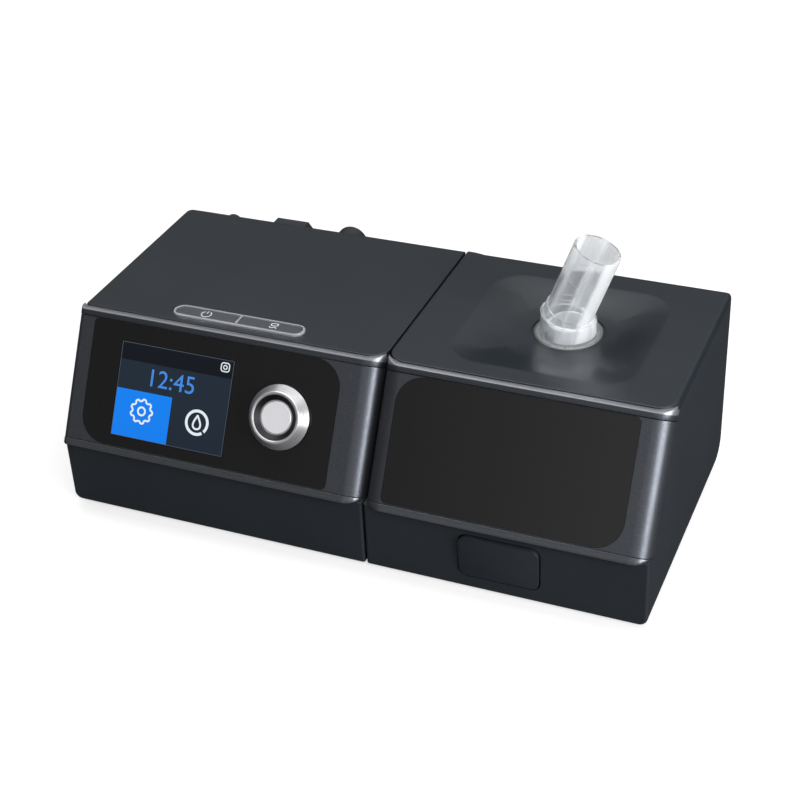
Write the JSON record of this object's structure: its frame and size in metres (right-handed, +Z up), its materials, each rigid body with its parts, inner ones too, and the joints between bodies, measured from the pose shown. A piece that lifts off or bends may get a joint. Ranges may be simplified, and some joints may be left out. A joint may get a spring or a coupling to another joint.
{
  "type": "bilevel pap machine",
  "caption": "Bedside bilevel air-pressure flow unit with display and control knob, docked to a heated humidifier with a water drawer and a swivelling clear air outlet.",
  "frame": {"origin": "centre of the footprint, on the surface that the feet stand on", "axes": "+X to the user's right, towards the humidifier, -Y towards the user, +Z up"},
  "size_m": [0.29, 0.157, 0.1371],
  "materials": {
    "housing_dark": "fine textured moulding",
    "cover_grey": "fine satin moulding",
    "front_grey": "satin moulding with a soft sheen",
    "trim_grey": "polished narrow strip",
    "window_black": "smooth black panel",
    "display": "dark display glass",
    "knob_metal": "turned and brushed",
    "knob_face": "fine satin disc",
    "steel": "plain",
    "clear": "clear polycarbonate",
    "frosted": "fine frosted polycarbonate",
    "tub_clear": "clear tinted polycarbonate",
    "button_grey": "satin",
    "board": "green solder mask",
    "inner_dark": "plain inner moulding",
    "blower": "light engineering plastic",
    "impeller_white": "white nylon",
    "motor": "painted can",
    "rubber": "soft rubber",
    "silicone": "grey silicone",
    "foam": "open-cell foam",
    "filter": "white fibre pad",
    "heater_metal": "plain anodised plate"
  },
  "bodies": {
    "main_unit": {"unit_base": "housing_dark", "unit_top_cover": "cover_grey", "unit_front_frame": "front_grey", "unit_trim_top": "trim_grey", "unit_trim_bottom": "trim_grey", "unit_window": "window_black", "display_glass": "display", "display_module": "inner_dark", "front_board": "board", "encoder_body": "steel", "main_board": "board", "blower_lower": "blower", "blower_upper": "blower", "blower_motor": "motor", "blower_mounts": "silicone", "duct_boot": "silicone", "air_nozzle": "inner_dark", "sound_foam": "foam", "air_filter": "filter", "filter_hinge_pin": "steel", "power_inlet": "inner_dark", "data_port_cap": "rubber", "button_surround": "clear", "button_board": "board", "dock_plug": "inner_dark", "unit_feet": "rubber", "unit_screws": "steel"},
    "knob_stem": {"encoder_plunger": "steel"},
    "control_knob": {"knob": "knob_metal", "knob_cap": "knob_face", "encoder_shaft": "steel"},
    "power_button": {"power_button": "button_grey"},
    "ramp_button": {"ramp_button": "button_grey"},
    "blower_rotor": {"impeller": "impeller_white", "motor_shaft": "steel"},
    "filter_door": {"filter_cover": "housing_dark"},
    "humidifier": {"humidifier_base": "housing_dark", "humidifier_bottom": "housing_dark", "humidifier_top_cover": "cover_grey", "outlet_socket": "clear", "outlet_gasket": "silicone", "inlet_gasket": "silicone", "outlet_spigot": "frosted", "heater_plate": "heater_metal", "heater_springs": "steel", "heater_board": "board", "dock_socket": "inner_dark", "humidifier_feet": "rubber", "humidifier_screws": "steel", "latch_pin": "steel"},
    "latch": {"latch_tab": "front_grey"},
    "elbow": {"outlet_elbow": "clear"},
    "water_drawer": {"drawer_front": "front_grey", "drawer_trim_top": "trim_grey", "drawer_trim_bottom": "trim_grey", "drawer_window": "window_black", "water_tub": "tub_clear", "tub_lid": "tub_clear", "tub_seal": "silicone", "tub_heat_plate": "steel"}
  },
  "joints": [
    {"name": "humidifier_undock", "type": "slide", "parent": "main_unit", "child": "humidifier", "axis": [1, 0, 0], "range_m": [0, 0.03]},
    {"name": "drawer_slide", "type": "slide", "parent": "humidifier", "child": "water_drawer", "axis": [0, -1, 0], "range_m": [0, 0.11]},
    {"name": "elbow_swivel", "type": "hinge", "parent": "humidifier", "child": "elbow", "pos_m": [0.08015, 0.0136, 0.0867], "axis": [0, 0, 1], "continuous": true},
    {"name": "latch_press", "type": "hinge", "parent": "humidifier", "child": "latch", "pos_m": [0.07685, -0.06963, 0.0115], "axis": [-1, 0, 0], "range_deg": [0, 5], "stiffness_Nm_per_rad": 1, "springref_deg": -2.86},
    {"name": "knob_push", "type": "slide", "parent": "main_unit", "child": "knob_stem", "axis": [0, 0.8693, -0.4943], "range_m": [0, 0.0005], "stiffness_N_per_m": 4000, "springref_m": -0.0005},
    {"name": "knob_turn", "type": "hinge", "parent": "knob_stem", "child": "control_knob", "pos_m": [-0.0335, -0.06184, 0.06464], "axis": [0, -0.8693, 0.4943], "continuous": true},
    {"name": "power_press", "type": "slide", "parent": "main_unit", "child": "power_button", "axis": [0, 0, -1], "range_m": [0, 0.0006], "stiffness_N_per_m": 3000, "springref_m": -0.0005},
    {"name": "ramp_press", "type": "slide", "parent": "main_unit", "child": "ramp_button", "axis": [0, 0, -1], "range_m": [0, 0.0006], "stiffness_N_per_m": 3000, "springref_m": -0.0005},
    {"name": "rotor_spin", "type": "hinge", "parent": "main_unit", "child": "blower_rotor", "pos_m": [-0.052, 0.014, 0.066], "axis": [0, 0, 1], "continuous": true},
    {"name": "filter_door_hinge", "type": "hinge", "parent": "main_unit", "child": "filter_door", "pos_m": [-0.089, 0.06757, 0.0284], "axis": [-1, 0, 0], "range_deg": [0, 95]}
  ]
}
